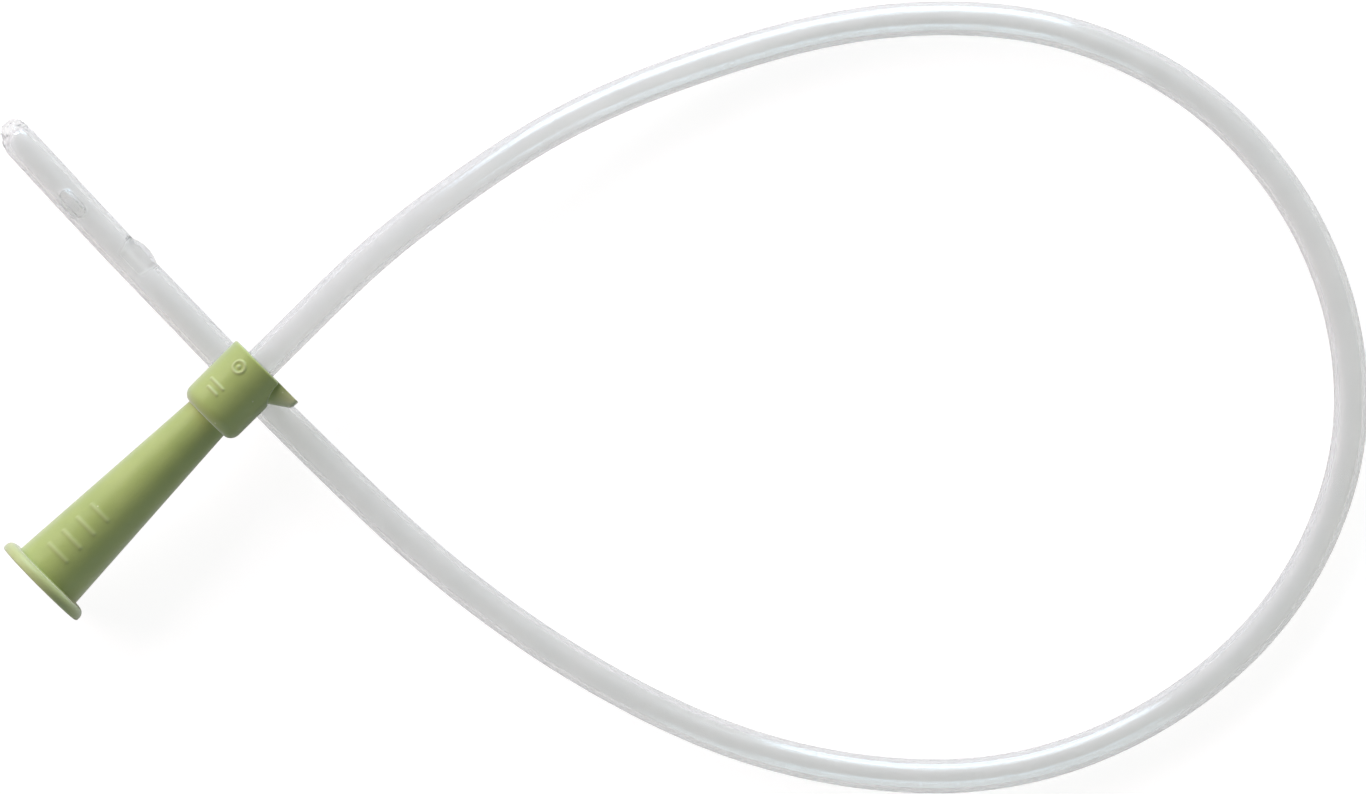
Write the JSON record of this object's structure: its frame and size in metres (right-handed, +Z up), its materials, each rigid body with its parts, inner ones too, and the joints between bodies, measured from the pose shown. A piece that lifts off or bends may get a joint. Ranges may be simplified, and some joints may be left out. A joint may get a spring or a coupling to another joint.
{
  "type": "urethral catheter",
  "caption": "intermittent urethral catheter: a clear soft tube with a closed tip and staggered side eyes, coiled in one loop, bonded into a flanged green funnel connector",
  "frame": {"origin": "the middle of the whole coiled catheter's box, on the table that it lies on", "axes": "+X runs along the connector from its mouth towards the tube, seen from above; +Y is the long way of the coiled catheter, towards its tip; +Z is up from the table"},
  "size_m": [0.1639, 0.1734, 0.0145],
  "materials": {
    "clear_tube": "clear soft PVC, smooth extruded gloss, faintly frosted",
    "green_connector": "olive green moulded soft PVC, satin"
  },
  "bodies": {
    "root": {"catheter_tube": "clear_tube", "funnel_connector": "green_connector"}
  },
  "joints": []
}
